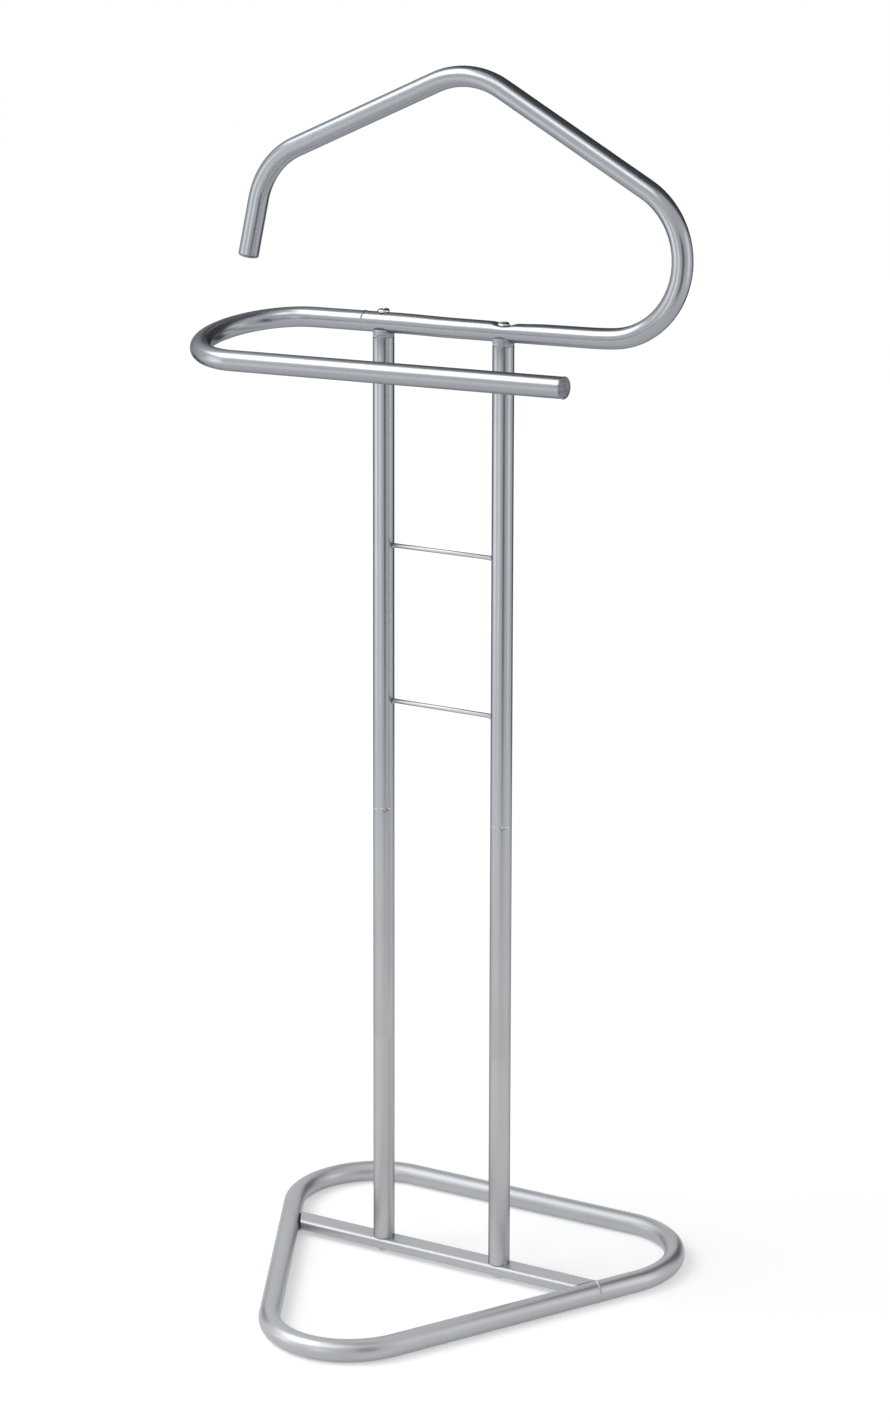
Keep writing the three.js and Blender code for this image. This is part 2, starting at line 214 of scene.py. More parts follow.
def makeLacquer(name, spec):
    # Silver lacquer: fine metal flake under a smooth film with a little orange peel, and a few scuffs
    finish = Finish(bpy.data.materials.new(name))
    place = finish.place()
    flake = finish.speckle(place, spec["flakeScale"], detail=1.0)
    peel = finish.speckle(place, spec["peelScale"], detail=2.0)
    cloud = finish.speckle(place, spec["cloudScale"], detail=3.0)
    patches = finish.speckle(place, spec["patchScale"], detail=4.0, roughness=spec["patchRoughness"])
    scratch = finish.streaks(place, spec["scratchScale"], detail=2.0, turn=spec["scratchTurn"])
    scuff = finish.spread(patches, *spec["patchShown"]) * finish.spread(scratch, *spec["scratchShown"])
    sparkle = finish.spread(flake, *spec["flakeShown"], toHigh=spec["sparkle"])
    body = finish.mixed(sparkle, spec["body"], spec["flake"])
    gloss = spec["roughness"]
    if "paintedShadeHeights" in spec:
        # Painted shade: the colour darkens towards the top, and the gloss gets smoother there
        height = finish.node("SeparateXYZ", {}, {"Vector": place}, output="Z")
        climb = finish.spread(height, *spec["paintedShadeHeights"])
        top = spec["top"]
        body = finish.mixed(climb, body, finish.mixed(sparkle, top["body"], top["flake"]))
        gloss = gloss - (gloss - top["roughness"]) * climb
    veil = finish.spread(cloud, *spec["cloudShown"], toHigh=spec["cloudShare"])
    tinted = finish.mixed(veil, body, spec["scuff"])
    worn = finish.mixed(scuff * spec["scuffShare"], tinted, spec["scuff"])
    film = finish.bump(peel, spec["peelStrength"], spec["peelDepth"])
    if "lumps" in spec:
        lumps = finish.speckle(place, spec["lumpScale"], detail=3.0)
        film = finish.bump(lumps, spec["lumpStrength"], spec["lumps"], film)
    return finish.close({
        "Base Color": worn, "Metallic": spec["metallic"],
        "Roughness": gloss + spec["cloudDulling"] * cloud + spec["scuffDulling"] * scuff,
        "Specular Tint": spec["edge"], "Coat Weight": spec["coat"], "Coat Roughness": spec["coatRoughness"],
        "Normal": film,
    })


zincSpec = {
    "bright": colour(0.66, 0.66, 0.65),
    "stained": colour(0.42, 0.42, 0.41),
    "edge": colour(0.05, 0.05, 0.05),
    "roughness": 0.16,
    "grainScale": 2600.0,
    "grainStrength": 0.35,
    "grainDepth": 0.00003,
    "stainScale": 240.0,
    "stainShown": (0.4, 0.7),
    "stainDulling": 0.12,
}


def makeZinc(name, spec):
    # Bright zinc plate with a fine grain and a few dull stains
    finish = Finish(bpy.data.materials.new(name))
    place = finish.place()
    grain = finish.speckle(place, spec["grainScale"], detail=2.0)
    stain = finish.speckle(place, spec["stainScale"], detail=3.0)
    tone = finish.mixed(finish.spread(stain, *spec["stainShown"]), spec["bright"], spec["stained"])
    return finish.close({
        "Base Color": tone, "Metallic": 1.0, "Roughness": spec["roughness"] + spec["stainDulling"] * stain,
        "Specular Tint": spec["edge"],
        "Normal": finish.bump(grain, spec["grainStrength"], spec["grainDepth"]),
    })


collarPlasticSpec = {
    "light": colour(0.43, 0.455, 0.495),
    "dark": colour(0.28, 0.30, 0.335),
    "metallic": 0.5,
    "roughness": 0.34,
    "grainScale": 1500.0,
    "grainRoughness": 0.6,
    "grainDulling": 0.2,
    "flowScale": (160.0, 160.0, 620.0),
    "toneShares": {"grain": 0.3, "flow": 0.7},
    "toneShown": (0.38, 0.64),
    "skinShares": {"grain": 0.4, "flow": 0.6},
    "skinStrength": 0.5,
    "skinDepth": 0.00006,
}
capPlasticSpec = {
    **collarPlasticSpec,
    "light": colour(0.30, 0.31, 0.35),
    "dark": colour(0.17, 0.18, 0.21),
    "metallic": 0.35,
}


def makePlastic(name, spec):
    # Silver grey moulding with a spark-eroded grain and faint flow lines
    finish = Finish(bpy.data.materials.new(name))
    place = finish.place()
    grain = finish.speckle(place, spec["grainScale"], detail=3.0, roughness=spec["grainRoughness"])
    flow = finish.streaks(place, spec["flowScale"], detail=3.0)
    shade, relief = (
        grain * shares["grain"] + flow * shares["flow"]
        for shares in (spec["toneShares"], spec["skinShares"]))
    return finish.close({
        "Base Color": finish.mixed(finish.spread(shade, *spec["toneShown"]), spec["dark"], spec["light"]),
        "Metallic": spec["metallic"], "Roughness": spec["roughness"] + spec["grainDulling"] * grain,
        "Normal": finish.bump(relief, spec["skinStrength"], spec["skinDepth"]),
    })


finishes = {
    "silver_lacquer": makeLacquer("silverLacquer", lacquerSpec),
    "zinc_plate": makeZinc("zincPlate", zincSpec),
    "grey_plastic": makePlastic("collarPlastic", collarPlasticSpec),
}
capPlastic = makePlastic("capPlastic", capPlasticSpec)
# The ring and the crossbar take the copy with painted light
paintedLightBaseLacquer = makeLacquer("paintedLightBaseLacquer", paintedLightLacquerSpec)
shadedPostLacquer = makeLacquer("shadedPostLacquer", shadedPostLacquerSpec)
paintedLightRungLacquer = makeLacquer("paintedLightRungLacquer", paintedLightRungLacquerSpec)
weldLacquer = makeLacquer("lacqueredWeld", weldSpec)
# Near black: painted shadow in the crossbar's end gaps
gapShadowFill = makeLacquer("gapShadowFill", gapShadowSpec)
slotOf = {part["node"]: part["material_slot"] for part in frame["record"]["subparts"]}
for nodeName, node in frame["nodes"].items():
    node.data.materials.clear()
    node.data.materials.append(finishes[slotOf[nodeName]])
print("finishes made")


# shaping helpers

mergeDistance = 1e-6
collapseDistance = 1e-7
cutTolerance = 1e-5
sharpFrom = 38  # degrees between two faces


def roughen(vert, scale, depth):
    vert.co += noise.noise_vector(vert.co * scale) * depth


def eased(value, low, high):
    share = min(max((value - low) / (high - low), 0), 1)
    return share * share * (3 - 2 * share)


def domed(away):
    # 1 in the middle of a mark and 0 from its edge outwards
    return 0.5 + 0.5 * math.cos(math.pi * min(away, 1))


def inOrder(parts):
    # Each part once, in the same order in every run, which a set wouldn't give
    return list(dict.fromkeys(parts))


def inside(edges, verts):
    chosen = set(verts)
    return [edge for edge in edges if all(vert in chosen for vert in edge.verts)]


def startRim(bm, centre, heading, radius, sides=48):
    stand = Matrix.Translation(centre) @ heading.to_track_quat("Z", "Y").to_matrix().to_4x4()
    verts = bmesh.ops.create_circle(bm, segments=sides, radius=radius, matrix=stand)["verts"]
    return inside(inOrder(edge for vert in verts for edge in vert.link_edges), verts)


def pull(bm, rim, way, swell=1.0):
    made = bmesh.ops.extrude_edge_only(bm, edges=rim)["geom"]
    verts = [part for part in made if isinstance(part, bmesh.types.BMVert)]
    if swell != 1.0:
        middle = sum((vert.co for vert in verts), Vector()) / len(verts)
        bmesh.ops.scale(bm, vec=(swell,) * 3, space=Matrix.Translation(-middle), verts=verts)
    bmesh.ops.translate(bm, verts=verts, vec=way)
    return inside([part for part in made if isinstance(part, bmesh.types.BMEdge)], verts)


def bend(bm, rim, centre, axis, angle, degreesPerStep=3):
    verts = inOrder(vert for edge in rim for vert in edge.verts)
    steps = max(2, math.ceil(math.degrees(angle) / degreesPerStep))
    last = bmesh.ops.spin(bm, geom=verts + rim, cent=centre, axis=axis, angle=angle, steps=steps)["geom_last"]
    return [part for part in last if isinstance(part, bmesh.types.BMEdge)]


def bendTube(bm, rim, corners, bends, lip=0.0008):
    # Draws the rim along straight runs, and round each corner at its bend radius. A short
    # run at each end keeps the shading of the rim off the long runs.
    first = (corners[1] - corners[0]).normalized() * lip
    last = (corners[-1] - corners[-2]).normalized() * lip
    rim = pull(bm, rim, first)
    here = corners[0] + first
    for before, corner, after, radius in zip(corners, corners[1:], corners[2:], bends):
        incoming, outgoing = (corner - before).normalized(), (after - corner).normalized()
        turn = incoming.angle(outgoing)
        reach = radius * math.tan(turn / 2)
        axis = incoming.cross(outgoing).normalized()
        rim = pull(bm, rim, corner - incoming * reach - here)
        rim = bend(bm, rim, corner - incoming * reach + axis.cross(incoming) * radius, axis, turn)
        here = corner + outgoing * reach
    return pull(bm, pull(bm, rim, corners[-1] - last - here), last)


def turnProfile(bm, profile, steps=48):
    # Full spin of (radius, height) points round Z
    verts = [bm.verts.new((radius, 0, height)) for radius, height in profile]
    edges = [bm.edges.new(pair) for pair in zip(verts, verts[1:])]
    bmesh.ops.spin(
        bm, geom=verts + edges, cent=(0, 0, 0), axis=(0, 0, 1), angle=math.tau, steps=steps, use_merge=True)
    bmesh.ops.remove_doubles(bm, verts=bm.verts, dist=mergeDistance)
    bmesh.ops.dissolve_degenerate(bm, edges=bm.edges, dist=collapseDistance)


def makeMesh(bm, name, finish, sharpAngle=sharpFrom):
    # Open ends are closed only while the normals are turned outwards
    bmesh.ops.remove_doubles(bm, verts=bm.verts, dist=mergeDistance)
    openEdges = [edge for edge in bm.edges if edge.is_boundary]
    lids = bmesh.ops.holes_fill(bm, edges=openEdges, sides=0)["faces"] if len(bm.faces) > 1 else []
    bmesh.ops.recalc_face_normals(bm, faces=bm.faces)
    bmesh.ops.delete(bm, geom=lids, context="FACES_ONLY")
    mesh = bpy.data.meshes.new(name)
    bm.to_mesh(mesh)
    bm.free()
    mesh.materials.append(finish)
    mesh.shade_smooth()
    mesh.set_sharp_from_angle(angle=math.radians(sharpAngle))
    piece = bpy.data.objects.new(name, mesh)
    scene.collection.objects.link(piece)
    return piece


def addPiece(bm, name, slotName, *nodes, finish=None, sharpAngle=sharpFrom):
    piece = makeMesh(bm, name, finish or finishes[slotName], sharpAngle)
    if nodes:
        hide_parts(*nodes)
    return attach(piece, "root")


def addSoftEdges(piece, width, angle=sharpFrom):
    soft = piece.modifiers.new("soft edges", "BEVEL")
    soft.width = width
    soft.segments = 2
    soft.limit_method = "ANGLE"
    soft.angle_limit = math.radians(angle)


def addWall(piece, thickness, softening):
    wall = piece.modifiers.new("wall", "SOLIDIFY")
    wall.thickness = thickness
    wall.offset = -1
    wall.use_even_offset = True
    addSoftEdges(piece, softening)


def carve(piece, *cutters):
    # Cuts the shapes out of the piece and keeps the result as its mesh
    for cutter in cutters:
        knife = piece.modifiers.new("cut", "BOOLEAN")
        knife.operation = "DIFFERENCE"
        knife.solver = "EXACT"
        knife.object = cutter
    bpy.context.view_layer.update()
    evaluated = piece.evaluated_get(bpy.context.evaluated_depsgraph_get())
    result = bpy.data.meshes.new_from_object(evaluated)
    piece.modifiers.clear()
    piece.data = result
    for cutter in cutters:
        bpy.data.objects.remove(cutter)


beadSpec = {
    "sides": 12,
    "tip": 0.35,
    "rise": 2.2,
    "ripples": (0.9, 1.12),
    "fall": 0.4,
    "roughScale": 900,
    "rough": 0.16,
}


def addBead(name, start, way, radius, ripples=9, finish=weldLacquer):
    # A short run of weld: a tapering rod with ripples, half sunk in the metal
    bm = bmesh.new()
    rim = startRim(bm, start, way.normalized(), radius * beadSpec["tip"], beadSpec["sides"])
    bmesh.ops.edgeloop_fill(bm, edges=rim)
    swells = [beadSpec["ripples"][index % 2] for index in range(ripples - 2)]
    for swell in [beadSpec["rise"], *swells, beadSpec["fall"]]:
        rim = pull(bm, rim, way / ripples, swell)
    bmesh.ops.edgeloop_fill(bm, edges=rim)
    for vert in bm.verts:
        roughen(vert, beadSpec["roughScale"], radius * beadSpec["rough"])
    return addPiece(bm, name, "silver_lacquer", finish=finish)


def sweepBead(bm, middle, axis, start, radius, steps, sweep=math.tau):
    # Spins a small circle, which stands at the start, round the axis
    bmesh.ops.create_circle(bm, segments=10, radius=radius, matrix=start)
    bmesh.ops.spin(
        bm, geom=list(bm.verts) + list(bm.edges), cent=middle, axis=axis, angle=sweep, steps=steps,
        use_merge=sweep == math.tau)


seamSpec = {
    "bead": 0.0009,
    "steps": 72,
    "crown": 0.9,
    "bury": 0.4,
    "roughScale": 500,
    "rough": 0.5,
    "floorGap": 0.0001,
}


def buildSeam(name, middle, heading, tube, spec, finish):
    # A weld round a tube. It stands proudest on top, where the torch passed, and sinks lower down.
    bm = bmesh.new()
    bead, sweep = spec["bead"], spec["sweep"]
    sideways = heading.cross(Vector((0, 0, 1)))
    turned = sideways.to_track_quat("Z", "Y").to_matrix().to_4x4()
    start = Matrix.Translation(middle + Vector((0, 0, tube))) @ turned
    sweepBead(bm, middle, heading, start, bead, round(spec["steps"] * sweep / math.tau), sweep)
    for vert in bm.verts:
        outward = vert.co - middle
        outward -= heading * outward.dot(heading)
        proud = outward.length - tube
        outward.normalize()
        swell = spec["crown"] * max(0.0, outward.z) - spec["sunk"]
        vert.co += outward * (proud * swell - spec["bury"] * bead)
        roughen(vert, spec["roughScale"], bead * spec["rough"])
        vert.co.z = max(vert.co.z, spec["floorGap"])
    return addPiece(bm, name, "silver_lacquer", finish=finish)


# base ring

ringSpec = {
    "tube": 0.00915,
    "cornerX": 0.2388,
    "backY": 0.1389,
    "apexY": -0.2802,
    "backBend": 0.0711,
    "frontBend": 0.0714,
    "seamY": -0.0033,
    "seam": {**seamSpec, "sweep": math.tau, "sunk": 0.25},
}
ringSlope = ringSpec["cornerX"] / (ringSpec["backY"] - ringSpec["apexY"])
ringAngle = math.atan(ringSlope)


def ringSide(y, side=1):
    return at(side * (y - ringSpec["apexY"]) * ringSlope, y, ringSpec["tube"])


def buildRing(spec):
    seam = ringSide(spec["seamY"])
    backRight = at(spec["cornerX"], spec["backY"], spec["tube"])
    backLeft = at(-spec["cornerX"], spec["backY"], spec["tube"])
    apex = at(0, spec["apexY"], spec["tube"])
    heading = (backRight - seam).normalized()
    bm = bmesh.new()
    rim = startRim(bm, seam, heading, spec["tube"])
    bends = [spec["backBend"], spec["backBend"], spec["frontBend"]]
    bendTube(bm, rim, [seam, backRight, backLeft, apex, seam], bends)
    addPiece(bm, "ring_tube", "silver_lacquer", "base_ring", finish=paintedLightBaseLacquer)
    buildSeam("ring_seam_weld", seam, heading, spec["tube"], spec["seam"], weldLacquer)


buildRing(ringSpec)
print("base ring built")


# crossbar and its welds

barSpec = {
    "width": 0.020,
    "height": 0.010,
    "corner": 0.0036,
    "cornerSteps": 5,
    "wall": 0.001,
    "endSoftening": 0.00025,
    "gap": {"left": 0.0004, "right": 0.0024},
    "wedge": {"left": 0.0009, "right": 0.0},
    # root: the near black bead of painted shadow in the gap at each end
    "root": {"radius": 0.0040, "reach": 0.46},
    "weld": {"radius": 0.0018, "length": 0.0055, "reach": 0.60, "drop": 0.42},
}


def buildCrossbar(spec):
    reach = {
        side: ringSide(0).x - postsMiddle.x - (ringSpec["tube"] + gap) / math.cos(ringAngle)
        for side, gap in spec["gap"].items()
    }
    bm = bmesh.new()
    bmesh.ops.create_grid(bm, x_segments=1, y_segments=1, size=0.5)
    bmesh.ops.scale(bm, vec=(spec["height"], spec["width"], 1), verts=bm.verts)
    bmesh.ops.bevel(
        bm, geom=list(bm.verts), offset=spec["corner"], segments=spec["cornerSteps"], profile=0.5,
        affect="VERTICES", material=-1)
    bmesh.ops.delete(bm, geom=list(bm.faces), context="FACES_ONLY")
    bmesh.ops.rotate(bm, verts=bm.verts, cent=(0, 0, 0), matrix=Matrix.Rotation(math.pi / 2, 3, "Y"))
    bmesh.ops.translate(bm, verts=bm.verts, vec=at(-reach["left"], 0, ringSpec["tube"]))
    startVerts = list(bm.verts)
    rim = pull(bm, list(bm.edges), Vector((reach["left"] + reach["right"], 0, 0)))
    endVerts = {vert for edge in rim for vert in edge.verts}
    for verts, side, name in ((startVerts, -1, "left"), (endVerts, 1, "right")):
        for vert in verts:
            # The mitre follows the ring, and on the left it is cut a little too steep
            back = vert.co.y - postsMiddle.y
            vert.co.x += side * (back * ringSlope + spec["wedge"][name] * (back / spec["width"] - 0.5))
    bar = addPiece(bm, "crossbar_tube", "silver_lacquer", "base_crossbar", finish=paintedLightBaseLacquer, sharpAngle=60)
    addWall(bar, spec["wall"], spec["endSoftening"])
    bar.modifiers.new("flat faces", "WEIGHTED_NORMAL").keep_sharp = True


def weldBarEnd(spec, side, name):
    # A near black root bead fills the gap as painted shadow, and a bead of weld closes it at the front and at
    # the back
    inset = (ringSpec["tube"] + spec["gap"][name] * 0.5) / math.cos(ringAngle)
    contact = ringSide(0, side) - Vector((side * inset, 0, 0))
    along = Vector((side * math.sin(ringAngle), math.cos(ringAngle), 0))
    root, weld = spec["root"], spec["weld"]
    half = along * spec["width"] * root["reach"]
    addBead(f"crossbar_gap_shadow_{name}", contact - half, 2 * half, root["radius"], finish=gapShadowFill)
    low = Vector((0, 0, -spec["height"] * weld["drop"]))
    for end, face in ((-1, "front"), (1, "back")):
        start = contact + along * end * spec["width"] * weld["reach"] + low
        addBead(f"crossbar_weld_{name}_{face}", start, -along * end * weld["length"], weld["radius"])


buildCrossbar(barSpec)
weldBarEnd(barSpec, -1, "left")
weldBarEnd(barSpec, 1, "right")
print("crossbar built")


# posts and rungs

postSpec = {
    "tube": 0.0093,
    "wall": 0.0012,
    "joint": 0.406,
    "jointGap": 0.0002,
    "endSoftening": 0.00012,
    "burr": {"radius": 0.0007, "steps": 120, "roughScale": 700, "rough": 0.5},
    "crimp": {"turn": -46, "reach": 0.0030, "depth": 0.0009, "rows": 7, "cover": 1.2},
}
rungSpec = {
    "rod": 0.002,
    "rodEnd": {"width": 0.8, "length": 0.3},
    "shortfall": 0.0005,
    "tilt": 1.0,
    "heights": {"upper": 0.6374, "lower": 0.5007},
    "bead": {"radius": 0.0014, "length": 0.0042, "bury": 0.0009, "ripples": 6,
             "forward": 0.45, "below": 0.75, "climb": 0.1},
}


def buildPosts(spec):
    for name, x in postSides.items():
        foot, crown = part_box(f"lower_post_{name}")[0].z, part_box(f"upper_post_{name}")[1].z
        lengths = {
            "lower": (foot, spec["joint"] - spec["jointGap"] / 2),
            "upper": (spec["joint"] + spec["jointGap"] / 2, crown),
        }
        for level, (low, high) in lengths.items():
            bm = bmesh.new()
            rim = startRim(bm, at(x, 0, low), Vector((0, 0, 1)), spec["tube"], sides=64)
            bendTube(bm, rim, [at(x, 0, low), at(x, 0, high)], [])
            pressCrimp(bm, x, spec)
            post = addPiece(
                bm, f"post_{level}_{name}", "silver_lacquer", f"{level}_post_{name}", finish=shadedPostLacquer)
            addWall(post, spec["wall"], spec["endSoftening"])
        buildBurr(name, at(x, 0, spec["joint"]), spec)


def buildBurr(name, middle, spec):
    # Chipped lacquer and bright steel, where the ends of the two tubes rub
    bm = bmesh.new()
    burr = spec["burr"]
    edge = middle + Vector((spec["tube"] - burr["radius"], 0, 0))
    start = Matrix.Translation(edge) @ Matrix.Rotation(math.pi / 2, 4, "X")
    sweepBead(bm, middle, (0, 0, 1), start, burr["radius"], burr["steps"])
    for vert in bm.verts:
        roughen(vert, burr["roughScale"], burr["radius"] * burr["rough"])
    addPiece(bm, f"post_burr_{name}", "zinc_plate")


def pressCrimp(bm, x, spec):
    # A punch mark over the joint, which locks the two tubes on their sleeve
    crimp = spec["crimp"]
    rows = crimp["rows"]
    for index in range(-rows, rows + 1):
        height = spec["joint"] + crimp["reach"] * crimp["cover"] * index / rows
        parts = list(bm.verts) + list(bm.edges) + list(bm.faces)
        bmesh.ops.bisect_plane(bm, geom=parts, dist=cutTolerance, plane_co=(0, 0, height), plane_no=(0, 0, 1))
    turn = math.radians(crimp["turn"])
    mark = at(x + spec["tube"] * math.cos(turn), spec["tube"] * math.sin(turn), spec["joint"])
    for vert in bm.verts:
        inward = (at(x, 0, vert.co.z) - vert.co).normalized()
        vert.co += inward * crimp["depth"] * domed((vert.co - mark).length / crimp["reach"])


def buildRungs(spec):
    # Each rod stops just short of the posts and hangs on a bead of weld at both ends
    reach = postSides["right"] - postSpec["tube"]
    half = reach - spec["shortfall"]
    rod, rodEnd, bead, tilt = spec["rod"], spec["rodEnd"], spec["bead"], math.radians(spec["tilt"])
    for name, height in spec["heights"].items():
        bm = bmesh.new()
        near = [(rod * rodEnd["width"], -half), (rod, -half + rod * rodEnd["length"])]
        far = [(radius, -offset) for radius, offset in reversed(near)]
        turnProfile(bm, [(0, -half)] + near + far + [(0, half)], steps=24)
        lying = Matrix.Rotation(math.pi / 2 + tilt, 3, "Y")
        bmesh.ops.rotate(bm, verts=bm.verts, cent=(0, 0, 0), matrix=lying)
        bmesh.ops.translate(bm, verts=bm.verts, vec=at(0, 0, height))
        addPiece(bm, f"rung_{name}", "silver_lacquer", f"{name}_rung", finish=paintedLightRungLacquer)
        for side, sideName in ((-1, "left"), (1, "right")):
            end = height - side * reach * math.tan(tilt)
            start = at(side * (reach + bead["bury"]), -rod * bead["forward"], end - rod * bead["below"])
            way = Vector((-side * bead["length"], 0, rod * bead["climb"]))
            addBead(f"rung_weld_{name}_{sideName}", start, way, bead["radius"], bead["ripples"])


buildPosts(postSpec)
buildRungs(rungSpec)
print("posts and rungs built")


# hanger tube, trouser rail and their end caps

topSpec = {
    "tube": 0.0089,
    "wall": 0.0012,
    "level": 0.8306,
    "seamX": -0.077,
    "seamGap": 0.00004,
    "endSoftening": 0.00012,
}
hangerSpec = {
    "freeEnd": (-0.1986, 0.8818),
    "shoulder": (-0.1804, 0.9634),
    "peak": (0.0258, 1.0493),
    "slopeFoot": (0.4101, 0.8306),
    "bends": [0.0662, 0.0735, 0.066],
    "bow": {"depth": 0.00065, "start": (-0.042, 0.008), "stop": (0.168, 0.146)},
    "bowLoops": {"count": 36, "step": 0.006},
    "dents": [(0.0005, 0.11, 0), (0.0009, 0.030, 0.012), (0.0026, 0.0125, 0.003)],  # depth, reach, offset
    "dentLoops": {"count": 14, "step": 0.0012},
    "levelRun": 0.012,
    "levelBand": 1.1,
    "seam": {**seamSpec, "sweep": 1.4, "sunk": 0.5},
    "seamOpening": 0.0003,
    "sawn": {"depth": 0.0002, "roughScale": 600, "rough": 0.0001},
}
railSpec = {
    "bendX": -0.1292,
    "span": 0.1247,
    "tilt": 11.7,
    "endX": 0.186,
}


def pressDent(bm, spec):
    # The right screw bows the tube slightly and pulls a dent into its top
    screwX, level, bow = postSides["right"], topSpec["level"], spec["bow"]
    wide, close = spec["bowLoops"], spec["dentLoops"]
    loops = [bow["start"][0] + wide["step"] * index for index in range(wide["count"])]
    loops += [screwX + close["step"] * index for index in range(-close["count"], close["count"] + 1)]
    for x in loops:
        run = [face for face in bm.faces if all(vert.co.z < level + spec["levelRun"] for vert in face.verts)]
        parts = inOrder(part for face in run for part in (*face.verts, *face.edges)) + run
        bmesh.ops.bisect_plane(bm, geom=parts, dist=cutTolerance, plane_co=at(x, 0, 0), plane_no=(1, 0, 0))
    for vert in bm.verts:
        x = vert.co.x - postsMiddle.x
        height = (vert.co.z - level) / topSpec["tube"]
        if abs(height) > spec["levelBand"]:
            continue
        sag = bow["depth"] * eased(x, *bow["start"]) * eased(x, *bow["stop"])
        for depth, reach, offset in spec["dents"]:
            sag += depth * domed(abs(x - screwX - offset) / reach) * max(height, 0) ** 3
        vert.co.z -= sag


def buildHanger(spec):
    corners = [at(x, 0, z) for x, z in (spec["freeEnd"], spec["shoulder"], spec["peak"], spec["slopeFoot"])]
    seam = at(topSpec["seamX"] + topSpec["seamGap"] / 2, 0, topSpec["level"])
    corners.append(seam)
    bm = bmesh.new()
    rim = startRim(bm, corners[0], (corners[1] - corners[0]).normalized(), topSpec["tube"])
    bendTube(bm, rim, corners, spec["bends"])
    pressDent(bm, spec)
    sawn = spec["sawn"]
    for vert in bm.verts:
        # The sawn end is a little rough, and the seam opens at the top
        if vert.co.x < seam.x + sawn["depth"] and abs(vert.co.z - seam.z) < spec["levelRun"]:
            vert.co.x += spec["seamOpening"] * max(0, (vert.co.z - seam.z) / topSpec["tube"]) ** 3
            roughen(vert, sawn["roughScale"], sawn["rough"])
    tube = addPiece(bm, "hanger_loop", "silver_lacquer", "hanger_tube")
    addWall(tube, topSpec["wall"], topSpec["endSoftening"])
    lacquer = finishes["silver_lacquer"]
    buildSeam("top_seam_weld", seam, Vector((1, 0, 0)), topSpec["tube"], spec["seam"], lacquer)
    return corners


def buildRail(spec):
    bendRadius = spec["span"] / 2
    forward = spec["span"] * math.cos(math.radians(spec["tilt"]))
    drop = spec["span"] * math.sin(math.radians(spec["tilt"]))
    back, front = (0, topSpec["level"]), (-forward, topSpec["level"] - drop)
    corners = [at(x, y, z) for x, (y, z) in (
        (topSpec["seamX"] - topSpec["seamGap"] / 2, back),
        (spec["bendX"] - bendRadius, back),
        (spec["bendX"] - bendRadius, front),
        (spec["endX"], front),
    )]
    bm = bmesh.new()
    rim = startRim(bm, corners[0], (corners[1] - corners[0]).normalized(), topSpec["tube"])
    bendTube(bm, rim, corners, [bendRadius, bendRadius])
    tube = addPiece(bm, "rail_loop", "silver_lacquer", "trouser_rail")
    addWall(tube, topSpec["wall"], topSpec["endSoftening"])
    return corners


capSpec = {
    "rim": 0.0092,
    "thickness": 0.002,
    "plug": 0.0074,
    "plugLength": 0.014,
    "plugBevel": 0.001,
    "seat": 0.0001,
    "bevel": 0.0003,
    "rounding": [(0, 0.4), (0.0002, 0.65), (0.0005, 0.86), (0.0010, 1.0)],  # inset, share of the height
    "border": 0.0016,
    "sink": 0.0006,
    "sinkSlope": 0.0004,
    "ridge": (0.0034, 0.0037, 0.0049, 0.0052),
    "ridgeDepth": 0.6,
}


def buildCap(name, line, node, spec):
    # A plug with a rounded rim. Its face is sunk inside a border, with a low ridge round the middle.
    rim, top, plug, foot = spec["rim"], spec["thickness"], spec["plug"], -spec["plugLength"]
    face, floor, crest = rim - spec["border"], top - spec["sink"], top - spec["sink"] * spec["ridgeDepth"]
    innerFoot, inner, outer, outerFoot = spec["ridge"]
    point, seat, bevel = spec["plugBevel"], spec["seat"], spec["bevel"]
    bm = bmesh.new()
    turnProfile(bm, [
        (0, foot), (plug - point, foot), (plug, foot + point), (plug, seat),
        (rim - bevel, seat), (rim, bevel),
        *[(rim - inset, top * share) for inset, share in spec["rounding"]],
        (face, top), (face - spec["sinkSlope"], floor),
        (outerFoot, floor), (outer, crest), (inner, crest), (innerFoot, floor), (0, floor),
    ])
    end, before = line
    turned = (end - before).normalized().to_track_quat("Z", "Y").to_matrix().to_4x4()
    bmesh.ops.transform(bm, matrix=Matrix.Translation(end) @ turned, verts=bm.verts)
    addPiece(bm, name, "grey_plastic", node, finish=capPlastic)


hangerLine = buildHanger(hangerSpec)
railLine = buildRail(railSpec)
buildCap("hanger_cap", hangerLine[:2], "hanger_end_cap", {**capSpec, "rim": topSpec["tube"]})
buildCap("rail_cap", railLine[:-3:-1], "rail_end_cap", capSpec)
print("hanger and rail built")


# saddles and screws

saddleSpec = {
    "collar": 0.0093,
    "lip": 0.0068,
    "plug": 0.0078,
    "plugDepth": 0.007,
    "bore": 0.0034,
    "fit": 0.0002,
    "seat": 0.0001,
    "bevel": 0.0003,
    "edge": 0.0004,
    "softening": 0.0002,
}
screwSpec = {
    "head": 0.0053,
    "headHeight": 0.0029,
    "brim": 0.0002,
    "dome": [(1.0, 0.34), (0.96, 0.56), (0.86, 0.78), (0.68, 0.93), (0.45, 1.0), (0, 1.0)],  # across, up
    "headSink": {"left": 0.0, "right": 0.0045},
    "shank": 0.003,
    "tip": {"width": 0.6, "length": 0.0015},
    "recess": 0.0038,
    "recessWidth": 0.0019,
    "recessDepth": 0.0022,
    "recessTaper": 0.62,
    "lean": 7,
    "turns": {"left": 24, "right": 63},
    "footTurn": 10,
    "footDrop": {"left": 0.0, "right": 0.0008},
    "softening": 0.00012,
}


